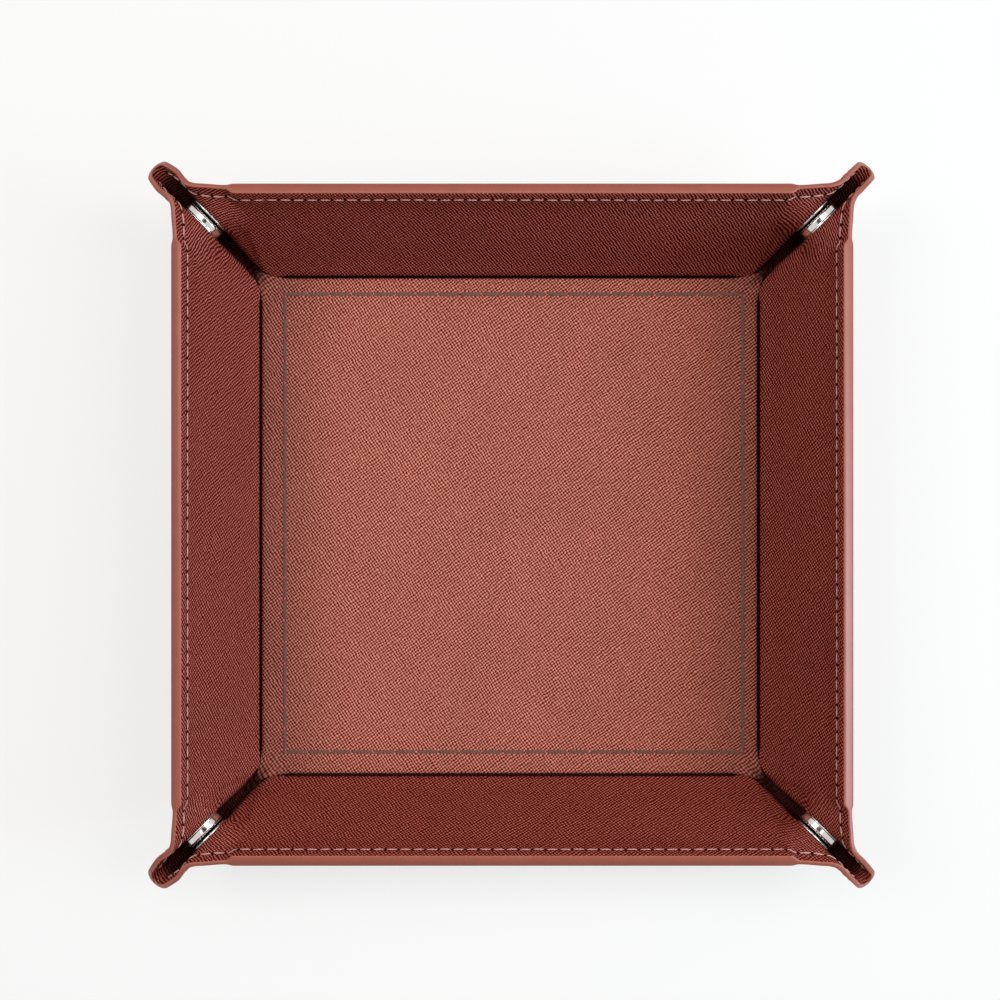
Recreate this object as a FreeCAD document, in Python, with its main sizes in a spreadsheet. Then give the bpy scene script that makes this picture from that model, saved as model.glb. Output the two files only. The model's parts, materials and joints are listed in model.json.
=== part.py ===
"""Folding valet tray: a soft square sheet with stiff boards, pinched into ears by four snaps.

Every leather layer is drawn flat, as it is cut, and then folded up to its place.
Frame: millimetres, +Z up, origin at the middle of the underside, +Y is the north wall.
"""
import FreeCAD, Part
import math
import os
import re

import Sketcher

Vector = FreeCAD.Vector
Rotation = FreeCAD.Rotation
Placement = FreeCAD.Placement

# Driving sizes in millimetres, angles in degrees
SIZES = {
    "fold_half": 84.5,
    "wall_width": 39.0,
    "wall_tilt": 60.0,
    "skin": 0.8,
    "card": 1.4,
    "base_setback": 2.2,
    "wall_setback": 1.5,
    "fold_gap": 0.1,
    "base_corner": 4.0,
    "sheet_corner": 20.0,
    "card_end_top": 0.0,
    "card_end_low": 5.2,
    "half_gap": 2.1,
    "ear_trim": 5.0,
    "crest_gap": 0.35,
    "snap_drop": 14.6,
    "snap_across": 2.4,
    "pad_radius": 7.5,
    "notch_gap": 0.3,
    "rivet_hole": 1.3,
    "shank_radius": 1.2,
    "flange_height": 0.6,
    "ring_radius": 7.0,
    "ring_flange": 7.2,
    "ring_height": 2.9,
    "bore_radius": 2.5,
    "stud_radius": 2.0,
    "stud_reach": 3.3,
    "stud_flange": 6.9,
    "collar_radius": 4.6,
    "collar_height": 0.5,
    "head_radius": 6.2,
    "head_rim": 0.4,
    "head_crown": 0.5,
    "crown_radius": 4.6,
    "dash_inset": 8.5,
    "dash_shift_x": 1.4,
    "dash_shift_y": 1.0,
    "dash_length": 5.6,
    "dash_pitch": 6.86,
    "dash_width": 1.15,
    "dash_height": 0.2,
    "stitch_inset": 3.9,
    "stitch_length": 3.2,
    "stitch_pitch": 4.1,
    "stitch_width": 0.6,
    "stitch_height": 0.3,
}

# Each wall: its name and its quarter turn about Z
WALLS = (("north", 0.0), ("west", 90.0), ("south", 180.0), ("east", 270.0))
# The corner at each end of a wall: hand +1 is the end at the wall's own +X
CORNERS = {
    ("north", 1): "ne",
    ("north", -1): "nw",
    ("west", 1): "nw",
    ("west", -1): "sw",
    ("south", 1): "sw",
    ("south", -1): "se",
    ("east", 1): "se",
    ("east", -1): "ne",
}
STUD_WALLS = ("north", "south")
# How far a cutting outline runs past the stock it cuts
OVERCUT = 2.0

doc = FreeCAD.newDocument("ValetTray")
sheet = doc.addObject("Spreadsheet::Sheet", "Sizes")
for row, (alias, value) in enumerate(SIZES.items(), start=1):
    sheet.set("A%d" % row, alias)
    sheet.set("B%d" % row, str(value))
    sheet.setAlias("B%d" % row, alias)
doc.recompute()


def size(alias):
    """The number in the sheet's cell of that name."""
    return float(sheet.get(alias))


def bound(formula):
    """A formula in plain aliases, with each alias pointed at the sheet."""
    return re.sub("[a-z_]+", lambda word: point_at_sheet(word.group()), formula)


def point_at_sheet(word):
    return "Sizes." + word if word in SIZES else word


# Formulas of the flat pattern, in the corner's own frame: U along the wall, V up the wall
EAR_START = "( skin * sin( wall_tilt ) - ( half_gap + 2 * skin ) * sqrt( 2 ) )"
SLOPE = "sqrt( 1 + cos( wall_tilt ) ^ 2 )"
SNAP_ALONG = "( wall_width * %s - snap_drop )" % SLOPE
SNAP_U = "( %s + ( %s * cos( wall_tilt ) + snap_across ) / %s )" % (EAR_START, SNAP_ALONG, SLOPE)
SNAP_V = "( ( %s - snap_across * cos( wall_tilt ) ) / %s )" % (SNAP_ALONG, SLOPE)


def ear_fold(height):
    """U of the ear's fold line at a given V."""
    return "( %s + ( %s ) * cos( wall_tilt ) )" % (EAR_START, height)


def ear_start():
    """The number of EAR_START: U where the ear's fold line meets the base fold."""
    tilt = math.radians(size("wall_tilt"))
    return size("skin") * math.sin(tilt) - (size("half_gap") + 2 * size("skin")) * math.sqrt(2)


def snap_centre():
    """The numbers of SNAP_U and SNAP_V, the middle of a snap on the flat pattern."""
    lean = math.cos(math.radians(size("wall_tilt")))
    slope = math.sqrt(1 + lean ** 2)
    along = size("wall_width") * slope - size("snap_drop")
    u = ear_start() + (along * lean + size("snap_across")) / slope
    v = (along - size("snap_across") * lean) / slope
    return u, v


def new_body(label):
    body = doc.addObject("PartDesign::Body", label)
    body.Label = label
    return body


def attach(sketch, body, lift=None):
    """Lay a sketch on its own body's XY plane, lifted by a formula."""
    plane = [item for item in body.Origin.OriginFeatures if item.Role == "XY_Plane"][0]
    sketch.AttachmentSupport = (plane, "")
    sketch.MapMode = "FlatFace"
    if lift:
        sketch.setExpression("AttachmentOffset.Base.z", bound(lift))


def add_outline(sketch, corners):
    """A closed outline of straight lines, each corner tied to the origin by two formulas."""
    first = sketch.GeometryCount
    count = len(corners)
    spots = []
    for index in range(count):
        angle = 2 * math.pi * index / count
        spots.append(Vector(50 * math.cos(angle) + 7, 50 * math.sin(angle) + 3, 0))
    for index in range(count):
        line = Part.LineSegment(spots[index], spots[(index + 1) % count])
        sketch.addGeometry(line, False)
    for index in range(count):
        after = first + (index + 1) % count
        sketch.addConstraint(Sketcher.Constraint("Coincident", first + index, 2, after, 1))
    for index, (along_x, along_y) in enumerate(corners):
        spot = spots[index]
        for kind, start, formula in (("DistanceX", spot.x, along_x), ("DistanceY", spot.y, along_y)):
            tie = Sketcher.Constraint(kind, -1, 1, first + index, 1, start)
            number = sketch.addConstraint(tie)
            sketch.setExpression("Constraints[%d]" % number, bound(formula))


def add_circle(sketch, centre_x, centre_y, radius):
    first = sketch.GeometryCount
    sketch.addGeometry(Part.Circle(Vector(20, 20, 0), Vector(0, 0, 1), 5), False)
    ties = (("DistanceX", 20.0, centre_x), ("DistanceY", 20.0, centre_y))
    for kind, start, formula in ties:
        number = sketch.addConstraint(Sketcher.Constraint(kind, -1, 1, first, 3, start))
        sketch.setExpression("Constraints[%d]" % number, bound(formula))
    number = sketch.addConstraint(Sketcher.Constraint("Radius", first, 5.0))
    sketch.setExpression("Constraints[%d]" % number, bound(radius))


def outline_sketch(body, name, outlines, lift=None):
    sketch = body.newObject("Sketcher::SketchObject", name)
    attach(sketch, body, lift)
    for corners in outlines:
        add_outline(sketch, corners)
    return sketch


def circle_sketch(body, name, circles, lift=None):
    sketch = body.newObject("Sketcher::SketchObject", name)
    attach(sketch, body, lift)
    for centre_x, centre_y, radius in circles:
        add_circle(sketch, centre_x, centre_y, radius)
    return sketch


def pad(body, sketch, height):
    feature = body.newObject("PartDesign::Pad", sketch.Name + "_pad")
    feature.Profile = sketch
    feature.setExpression("Length", bound(height))
    doc.recompute()
    return feature


def pocket(body, sketch, height=None):
    """Cut upwards from the sketch, by a formula or right through both ways."""
    before = body.Shape.Volume
    feature = body.newObject("PartDesign::Pocket", sketch.Name + "_cut")
    feature.Profile = sketch
    feature.Reversed = True
    if height:
        feature.setExpression("Length", bound(height))
    else:
        feature.Type = "ThroughAll"
        feature.Midplane = True
    doc.recompute()
    if body.Shape.Volume >= before:
        raise RuntimeError(body.Label + ": " + sketch.Name + " cuts nothing")
    return feature


def round_upright_edges(body, at, radius, count):
    """Fillet the upright edges that pass through any of the given points."""
    base = body.Tip
    names = []
    for number, edge in enumerate(base.Shape.Edges, start=1):
        ends = [vertex.Point for vertex in edge.Vertexes]
        upright = len(ends) == 2 and math.hypot(ends[0].x - ends[1].x, ends[0].y - ends[1].y) < 1e-6
        if upright and any(math.hypot(ends[0].x - x, ends[0].y - y) < 1e-4 for x, y in at):
            names.append("Edge%d" % number)
    if len(names) != count:
        raise RuntimeError(body.Label + ": found %d upright edges" % len(names))
    feature = body.newObject("PartDesign::Fillet", body.Name + "_rounding")
    feature.Base = (base, names)
    feature.setExpression("Radius", bound(radius))
    doc.recompute()
    return feature


# Base: outer skin, board, lining and the sewn frame of dashes
def base_plate(label, setback, lift, height):
    """A square plate with rounded corners, set back from the folds."""
    body = new_body(label)
    high = "( fold_half - %s )" % setback
    low = "-" + high
    corners = ((low, low), (high, low), (high, high), (low, high))
    pad(body, outline_sketch(body, label + "_outline", (corners,), lift), height)
    reach = size("fold_half") - size(setback)
    at = [(x * reach, y * reach) for x in (-1, 1) for y in (-1, 1)]
    round_upright_edges(body, at, "base_corner", 4)
    return body


def base_dashes(label):
    """Four rows of flat dashes with a small block at each corner, sewn a little off the middle."""
    half = size("fold_half") - size("dash_inset")
    width = size("dash_width")
    low = 2 * size("skin") + size("card")
    run = 2 * half - 2 * width
    count = int(run / size("dash_pitch"))
    pitch = run / count
    solids = []
    for turn in range(4):
        row = []
        for index in range(count):
            middle = -run / 2 + (index + 0.5) * pitch
            corner = Vector(middle - size("dash_length") / 2, half - width / 2, low)
            row.append(Part.makeBox(size("dash_length"), width, size("dash_height"), corner))
        block = Vector(half - width / 2, half - width / 2, low)
        row.append(Part.makeBox(width, width, size("dash_height"), block))
        for solid in row:
            solid.rotate(Vector(0, 0, 0), Vector(0, 0, 1), 90.0 * turn)
            solid.translate(Vector(size("dash_shift_x"), size("dash_shift_y"), 0))
            solids.append(solid)
    feature = doc.addObject("Part::Feature", label)
    feature.Label = label
    feature.Shape = Part.makeCompound(solids)
    return feature


# Walls: outer skin, board, lining and rim thread, drawn flat beyond the north fold
def wall_outline(low, low_reach, high_reach):
    """A wall outline symmetric about X = 0, from V = low up to the rim."""
    low_y = "fold_half + " + low
    high_y = "fold_half + wall_width"
    right_low = "( fold_half + %s )" % low_reach
    right_high = "( fold_half + %s )" % high_reach
    return (
        ("-" + right_low, low_y),
        (right_low, low_y),
        (right_high, high_y),
        ("-" + right_high, high_y),
    )


def full_outline(low):
    """The wall with its soft ends, up to the folds of its two ears."""
    return wall_outline(low, ear_fold(low) + " - fold_gap", ear_fold("wall_width") + " - fold_gap")


def card_outline(low, extra):
    """The wall's board, with its ends moved out by a formula."""
    return wall_outline(low, "( %s - card_end_low )" % extra, "( %s - card_end_top )" % extra)


def cut_snap_notches(body, label):
    """Round notches that leave room for the flat pads under the snaps."""
    circles = []
    for sign in ("", "-"):
        across = sign + "( fold_half + %s )" % SNAP_U
        circles.append((across, "fold_half + " + SNAP_V, "pad_radius + notch_gap"))
    pocket(body, circle_sketch(body, label + "_notches", circles))


def wall_skin(label):
    body = new_body(label)
    pad(body, outline_sketch(body, label + "_outline", (full_outline("fold_gap"),)), "skin")
    cut_snap_notches(body, label)
    return body


def wall_card(label):
    body = new_body(label)
    outline = card_outline("wall_setback", "0")
    pad(body, outline_sketch(body, label + "_outline", (outline,), "skin"), "card")
    return body


def wall_lining(label):
    """Lining that lies on the outer skin at the ends and steps up over the board between."""
    body = new_body(label)
    flat = outline_sketch(body, label + "_flat", (full_outline("wall_setback"),), "skin")
    pad(body, flat, "skin")
    raised = outline_sketch(body, label + "_raised", (card_outline("wall_setback", "skin"),), "skin")
    pad(body, raised, "card + skin")
    around_card = card_outline("wall_setback", "fold_gap")
    cavity = outline_sketch(body, label + "_cavity", (around_card,), "skin")
    pocket(body, cavity, "card")
    cut_snap_notches(body, label)
    return body


def wall_thread(label):
    """The straight row of rim stitches along the board."""
    low = 2 * size("skin") + size("card")
    reach = size("fold_half") - size("card_end_top") - size("stitch_length")
    count = 2 * int(reach / size("stitch_pitch")) + 1
    place = size("fold_half") + size("wall_width") - size("stitch_inset") - size("stitch_width") / 2
    solids = []
    for index in range(count):
        middle = (index - (count - 1) / 2) * size("stitch_pitch")
        corner = Vector(middle - size("stitch_length") / 2, place, low)
        stitch = Part.makeBox(size("stitch_length"), size("stitch_width"), size("stitch_height"), corner)
        solids.append(stitch)
    feature = doc.addObject("Part::Feature", label)
    feature.Label = label
    feature.Shape = Part.makeCompound(solids)
    return feature


# Ears: the two soft layers beyond each end of a wall, up to the crest on the diagonal
def ear_layer(label, hand, lift):
    body = new_body(label)
    sign = "" if hand > 0 else "-"

    def spot(u, v):
        return (sign + "( fold_half + %s )" % u, "fold_half + " + v)

    inner = "( -( half_gap + 2 * skin ) * sqrt( 2 ) )"
    stock = (
        spot(inner, "ear_trim"),
        spot("wall_width", "ear_trim"),
        spot("wall_width", "wall_width"),
        spot(inner, "wall_width"),
    )
    pad(body, outline_sketch(body, label + "_outline", (stock,), lift), "skin")
    tip = size("fold_half") + size("wall_width")
    round_upright_edges(body, [(hand * tip, tip)], "sheet_corner", 1)

    low = "( ear_trim - %s )" % OVERCUT
    high = "( wall_width + %s )" % OVERCUT
    beyond = "( wall_width + 2 * %s )" % OVERCUT
    before = "( %s - 2 * %s )" % (inner, OVERCUT)
    crest = "( %s - crest_gap * sqrt( 2 ) )"
    past_crest = (
        spot(crest % low, low),
        spot(beyond, low),
        spot(beyond, high),
        spot(crest % high, high),
    )
    before_fold = (
        spot("( %s + fold_gap )" % ear_fold(low), low),
        spot("( %s + fold_gap )" % ear_fold(high), high),
        spot(before, high),
        spot(before, low),
    )
    pocket(body, outline_sketch(body, label + "_trim", (past_crest, before_fold), lift))
    centre = spot(SNAP_U, SNAP_V)
    round_pad = circle_sketch(body, label + "_pad", (centre + ("pad_radius",),), lift)
    pad(body, round_pad, "skin")
    pocket(body, circle_sketch(body, label + "_hole", (centre + ("rivet_hole",),), lift))
    return body


# Snaps: four turned pieces on the axis of each ear's hole, with Z = 0 on the outer skin
def disc(name, radius, low, height):
    piece = doc.addObject("Part::Cylinder", name)
    piece.setExpression("Radius", bound(radius))
    piece.setExpression("Height", bound(height))
    piece.setExpression("Placement.Base.z", bound(low))
    return piece


def fuse(name, pieces):
    joined = doc.addObject("Part::MultiFuse", name)
    joined.Shapes = pieces
    return joined


def cut(name, stock, tool):
    piece = doc.addObject("Part::Cut", name)
    piece.Base = stock
    piece.Tool = tool
    return piece


def snap_socket(label):
    """A flanged ring with a bore for the stud."""
    flange = disc(label + "_flange", "ring_flange", "2 * skin", "flange_height")
    ring = disc(label + "_ring", "ring_radius", "2 * skin", "ring_height")
    bore = disc(label + "_bore", "bore_radius", "2 * skin + flange_height", "ring_height")
    hole = disc(label + "_hole", "rivet_hole", "skin", "ring_height")
    solid = fuse(label + "_solid", [flange, ring])
    tools = fuse(label + "_tools", [bore, hole])
    return cut(label, solid, tools)


def snap_stud(label):
    """A flange, a collar and the stud that enters the socket."""
    flange = disc(label + "_flange", "stud_flange", "2 * skin", "flange_height")
    collar = disc(label + "_collar", "collar_radius", "2 * skin", "flange_height + collar_height")
    post = disc(label + "_post", "stud_radius", "2 * skin", "stud_reach")
    hole = disc(label + "_hole", "rivet_hole", "skin", "skin + flange_height")
    solid = fuse(label + "_solid", [flange, collar, post])
    return cut(label, solid, hole)


def snap_rivet(label):
    """A crowned head outside the ear with a shank through both layers."""
    rim = disc(label + "_rim", "head_radius", "-head_rim", "head_rim")
    shank_height = "head_rim + 2 * skin + flange_height - fold_gap"
    shank = disc(label + "_shank", "shank_radius", "-head_rim", shank_height)
    crown = doc.addObject("Part::Cone", label + "_crown")
    crown.setExpression("Radius1", bound("crown_radius"))
    crown.setExpression("Radius2", bound("head_radius"))
    crown.setExpression("Height", bound("head_crown"))
    crown.setExpression("Placement.Base.z", bound("-( head_rim + head_crown )"))
    return fuse(label, [rim, shank, crown])


# Folded places
def wall_place(turn):
    """From the flat north wall to a raised wall of that quarter turn."""
    hinge = Vector(0, size("fold_half"), size("skin"))
    raised = Placement(Vector(0, 0, 0), Rotation(Vector(1, 0, 0), size("wall_tilt")), hinge)
    return Placement(Vector(0, 0, 0), Rotation(Vector(0, 0, 1), turn)) * raised


def ear_place(turn, hand):
    """From the flat ear at one end of the north wall to its pinched place."""
    tilt = math.radians(size("wall_tilt"))
    angle = math.degrees(math.acos(math.sin(tilt) / math.sqrt(2)))
    hinge = Vector(hand * (size("fold_half") + ear_start()), size("fold_half"), 0)
    axis = Vector(hand * math.cos(tilt), 1, 0)
    bent = Placement(Vector(0, 0, 0), Rotation(axis, hand * angle), hinge)
    return wall_place(turn) * bent


nodes = [
    base_plate("base_outer_skin", "fold_gap", "0", "skin"),
    base_plate("base_board", "base_setback", "skin", "card"),
    base_plate("base_lining", "base_setback", "skin + card", "skin"),
    base_dashes("base_sewn_frame"),
]
for side, turn in WALLS:
    wall_nodes = [
        wall_skin("wall_%s_outer_skin" % side),
        wall_card("wall_%s_board" % side),
        wall_lining("wall_%s_lining" % side),
        wall_thread("wall_%s_thread" % side),
    ]
    for node in wall_nodes:
        node.Placement = wall_place(turn)
    nodes += wall_nodes
    for hand in (1, -1):
        corner = CORNERS[side, hand]
        ear = "ear_%s_%s" % (corner, side)
        layers = [
            ear_layer(ear + "_outer_skin", hand, "0"),
            ear_layer(ear + "_lining", hand, "skin"),
        ]
        for node in layers:
            node.Placement = ear_place(turn, hand)
        snap = "snap_%s_" % corner
        if side in STUD_WALLS:
            turned = [snap_stud(snap + "stud"), snap_rivet(snap + "post")]
        else:
            turned = [snap_socket(snap + "socket"), snap_rivet(snap + "cap")]
        snap_u, snap_v = snap_centre()
        centre = Vector(hand * (size("fold_half") + snap_u), size("fold_half") + snap_v, 0)
        for node in turned:
            node.Label = node.Name
            node.Placement = ear_place(turn, hand) * Placement(centre, Rotation())
        nodes += layers + turned
doc.recompute()

for item in doc.Objects:
    if "Invalid" in item.State or "Error" in item.State:
        raise RuntimeError(item.Label + " did not build")
for node in nodes:
    if node.Shape.isNull() or not node.Shape.isValid() or not node.Shape.Solids:
        raise RuntimeError(node.Label + " has no valid solid")

os.makedirs("parts", exist_ok=True)
for node in nodes:
    node.Shape.exportStep("parts/%s.step" % node.Label)
    print("%s: %d solids, %.2f mm3" % (node.Label, len(node.Shape.Solids), node.Shape.Volume))
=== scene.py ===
"""Looks of the folding valet tray: grained leather, painted edges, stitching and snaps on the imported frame.

Every leather piece is modelled flat, as the sheet is cut, then folded to its place. Units are metres.
"""
import json
import math
import random

import bpy
from mathutils import Matrix, Vector


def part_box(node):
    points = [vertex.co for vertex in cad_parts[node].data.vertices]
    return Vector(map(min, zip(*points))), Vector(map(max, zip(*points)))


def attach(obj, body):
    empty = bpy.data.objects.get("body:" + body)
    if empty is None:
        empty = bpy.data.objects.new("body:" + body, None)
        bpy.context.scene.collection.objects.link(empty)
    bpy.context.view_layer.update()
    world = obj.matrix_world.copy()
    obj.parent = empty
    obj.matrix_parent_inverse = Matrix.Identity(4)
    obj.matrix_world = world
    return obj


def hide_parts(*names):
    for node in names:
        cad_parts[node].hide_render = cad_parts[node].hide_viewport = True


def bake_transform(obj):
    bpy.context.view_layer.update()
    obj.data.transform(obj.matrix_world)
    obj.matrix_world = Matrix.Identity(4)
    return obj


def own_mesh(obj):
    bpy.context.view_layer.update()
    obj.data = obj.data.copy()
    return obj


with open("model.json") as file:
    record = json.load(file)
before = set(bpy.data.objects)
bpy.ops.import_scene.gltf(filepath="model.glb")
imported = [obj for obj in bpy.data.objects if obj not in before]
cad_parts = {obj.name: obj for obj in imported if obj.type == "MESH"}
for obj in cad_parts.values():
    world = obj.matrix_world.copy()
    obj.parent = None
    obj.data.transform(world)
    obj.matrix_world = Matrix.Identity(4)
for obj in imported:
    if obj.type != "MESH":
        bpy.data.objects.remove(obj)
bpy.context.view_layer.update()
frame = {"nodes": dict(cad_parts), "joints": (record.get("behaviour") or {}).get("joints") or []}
chance = random.Random(11)

MM = 0.001
ROOT_TWO = math.sqrt(2)

# Sizes of the folded tray, read from the frame
joints = {joint["name"]: joint for joint in frame["joints"]}
wall_joint = joints["wall_north_fold"]
ear_joint = joints["ear_ne_north_fold"]
FOLD = wall_joint["pos_m"][1]
SKIN = wall_joint["pos_m"][2]
TILT = math.radians(wall_joint["range_deg"][1])
EAR_TURN = math.radians(ear_joint["range_deg"][1])
EAR_START = ear_joint["pos_m"][0] - FOLD
RIM = (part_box("wall_north_outer_skin")[1].z - SKIN) / math.sin(TILT)
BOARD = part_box("base_board")[1].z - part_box("base_board")[0].z
BASE_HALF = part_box("base_lining")[1].x
SOFT = 2 * SKIN
THICK = SOFT + BOARD
OUTER_GAP = (SKIN * math.sin(TILT) - EAR_START) / ROOT_TWO
LINING_GAP = OUTER_GAP - SOFT

# Sizes of the sheet that only the looks need
SHEET_CORNER = 24 * MM
RIM_COVER = 0.15 * MM
WALL_LOW = 1.4 * MM
BOARD_END_LOW = 5.2 * MM
SEAM = -10 * MM
EDGE_ROUND = 0.42 * MM
CELL = 1.0 * MM

WALLS = (("north", 0), ("west", 1), ("south", 2), ("east", 3))
CORNERS = {
    ("north", 1): "ne",
    ("north", -1): "nw",
    ("west", 1): "nw",
    ("west", -1): "sw",
    ("south", 1): "sw",
    ("south", -1): "se",
    ("east", 1): "se",
    ("east", -1): "ne",
}
STUD_WALLS = ("north", "south")
snap_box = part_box("snap_ne_socket")
SNAP_CENTRE = (snap_box[0] + snap_box[1]) / 2
SNAP_OUT = (SNAP_CENTRE.x + SNAP_CENTRE.y) / ROOT_TWO
SNAP_HEIGHT = SNAP_CENTRE.z


# Small helpers
def clear_selection():
    bpy.ops.object.select_all(action="DESELECT")


def select_only(piece):
    clear_selection()
    piece.select_set(True)
    bpy.context.view_layer.objects.active = piece


def named(name):
    piece = bpy.context.object
    piece.name = name
    piece.data.name = name
    return piece


def start_grid(name, columns, rows):
    """A grid from -1 to 1 both ways, to be laid out as a flat panel."""
    clear_selection()
    bpy.ops.mesh.primitive_grid_add(x_subdivisions=columns, y_subdivisions=rows, size=2)
    return named(name)


def finish_modifier(piece, kind, **settings):
    modifier = piece.modifiers.new(kind.lower(), kind)
    for setting, value in settings.items():
        setattr(modifier, setting, value)
    select_only(piece)
    bpy.ops.object.modifier_apply(modifier=modifier.name)


def move_points(piece, place):
    for vertex in piece.data.vertices:
        vertex.co = place(vertex.co.copy())
    piece.data.update()


def select_edges(piece, chosen):
    """Select by place the edges whose two ends pass the test."""
    mesh = piece.data
    select_only(piece)
    bpy.context.tool_settings.mesh_select_mode = (False, True, False)
    for part in (mesh.vertices, mesh.polygons):
        for item in part:
            item.select = False
    for edge in mesh.edges:
        first, second = (mesh.vertices[index].co for index in edge.vertices)
        edge.select = chosen(first, second)


def bevel_edges(piece, chosen, width, segments, material=-1):
    select_edges(piece, chosen)
    bpy.ops.object.mode_set(mode="EDIT")
    bpy.ops.mesh.bevel(offset=width, segments=segments, affect="EDGES", material=material)
    bpy.ops.object.mode_set(mode="OBJECT")


def smooth(piece, angle=40):
    select_only(piece)
    bpy.ops.object.shade_smooth_by_angle(angle=math.radians(angle))


def ease(value):
    """A smooth step from 0 to 1."""
    value = min(max(value, 0.0), 1.0)
    return value * value * (3 - 2 * value)


def mix(low, high, share):
    return low + (high - low) * share


def quarter_turn(point, turns):
    x, y, z = point
    for _ in range(turns):
        x, y = -y, x
    return Vector((x, y, z))


def keep_sheet_place(piece, turns=0, hand=1, slide=Vector):
    """Store where each point lies on the whole flat sheet, for the grain."""
    store = piece.data.attributes.new("sheet", "FLOAT_VECTOR", "POINT")
    for vertex, item in zip(piece.data.vertices, store.data):
        x, y, z = slide(vertex.co)
        item.vector = quarter_turn((hand * x, y, z), turns)


def keep_painted_shade(piece, share):
    """Store the share of painted shade at each point, for folds, pinches, corners and the base beside the
    walls, which are drawn dark.
    """
    store = piece.data.attributes.new("hidden", "FLOAT", "POINT")
    for vertex, item in zip(piece.data.vertices, store.data):
        item.value = share(vertex.co)


def to_wall(piece, turns, hand=1):
    """Turn a piece made on the north wall's right half to its own wall and end."""
    move_points(piece, lambda spot: quarter_turn((hand * spot.x, spot.y, spot.z), turns))
    if hand < 0:
        piece.data.flip_normals()


# Node helpers
def add_node(tree, kind, inputs=None, **settings):
    item = tree.nodes.new(kind)
    for setting, value in settings.items():
        setattr(item, setting, value)
    for socket, value in (inputs or {}).items():
        if isinstance(value, bpy.types.NodeSocket):
            tree.links.new(value, item.inputs[socket])
        else:
            item.inputs[socket].default_value = value
    return item


def calculate(tree, operation, first, second=0.0, third=0.0):
    inputs = {0: first, 1: second, 2: third}
    return add_node(tree, "ShaderNodeMath", inputs, operation=operation).outputs[0]


def blend_colours(tree, share, low, high, blend_type="MIX"):
    settings = {"data_type": "RGBA", "blend_type": blend_type}
    item = add_node(tree, "ShaderNodeMix", {"Factor": share}, **settings)
    for socket, value in ((6, low), (7, high)):
        if isinstance(value, bpy.types.NodeSocket):
            tree.links.new(value, item.inputs[socket])
        else:
            item.inputs[socket].default_value = (*value, 1)
    return item.outputs[2]


def cloud(tree, place, scale, detail=2.0, roughness=0.5):
    inputs = {"Vector": place, "Scale": scale, "Detail": detail, "Roughness": roughness}
    return add_node(tree, "ShaderNodeTexNoise", inputs).outputs["Fac"]


def ramp(tree, value, low, high):
    inputs = {"Value": value, "From Min": low, "From Max": high}
    return add_node(tree, "ShaderNodeMapRange", inputs, clamp=True).outputs["Result"]


def new_material(name):
    material = bpy.data.materials.new(name)
    material.use_nodes = True
    tree = material.node_tree
    return material, tree, tree.nodes["Principled BSDF"]


def set_bump(tree, shader, height, distance, strength):
    inputs = {"Height": height, "Distance": distance, "Strength": strength}
    bump = add_node(tree, "ShaderNodeBump", inputs)
    tree.links.new(bump.outputs["Normal"], shader.inputs["Normal"])


def sheet_place(tree):
    return add_node(tree, "ShaderNodeAttribute", attribute_name="sheet").outputs["Vector"]


def object_place(tree):
    return add_node(tree, "ShaderNodeTexCoord").outputs["Object"]


def wander(tree, place, scale, reach):
    """Shift a place by soft noise, so that what is drawn on it isn't quite straight."""
    noise = add_node(tree, "ShaderNodeTexNoise", {"Vector": place, "Scale": scale, "Detail": 1.0})
    inputs = {0: noise.outputs["Color"], 1: (0.5, 0.5, 0.5)}
    centred = add_node(tree, "ShaderNodeVectorMath", inputs, operation="SUBTRACT").outputs[0]
    inputs = {0: centred, "Scale": reach}
    shift = add_node(tree, "ShaderNodeVectorMath", inputs, operation="SCALE").outputs[0]
    return add_node(tree, "ShaderNodeVectorMath", {0: place, 1: shift}, operation="ADD").outputs[0]


WAVE_RADIANS = 20


def ribs(tree, place, direction, pitch):
    """Fine parallel ribs that run at an angle on the flat sheet, from 0 in a groove to 1 on a rib."""
    turn = (0, 0, math.radians(-(direction + 90)))
    turned = add_node(tree, "ShaderNodeMapping", {"Vector": place, "Rotation": turn}).outputs[0]
    scale = 2 * math.pi / (WAVE_RADIANS * pitch)
    inputs = {"Vector": turned, "Scale": scale, "Distortion": 0.0}
    return add_node(tree, "ShaderNodeTexWave", inputs, wave_profile="SIN").outputs["Fac"]


# Materials
# Near-black colour of the painted shade in folds, pinches, corners and beside the walls.
PAINTED_SHADE_TONE = (0.012, 0.004, 0.003)
RISING_RIBS = 37
FALLING_RIBS = -56
RIB_PITCH = 0.91 * MM
RIB_SWAY = 2.0 * MM
RIB_JITTER = 1.0 * MM
RIB_BEADS = 0.25
RIB_BREAKS = 0.34
GRAIN_DEPTH = 0.2 * MM
WALL_EDGE = 80 * MM
WALL_FULL = 92 * MM
BASE_LEAD = 0.36
PATCH_LEAD = 0.4
LEAD_PER_METRE_EAST = -3.0
EAST_LEAD = 0.45
NORTH_LEAD = 0.4
NORTH_LEAD_PER_METRE_EAST = 5.2
WEST_LEAD = -0.27
WEST_LEAD_PER_METRE_NORTH = -3.6


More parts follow.
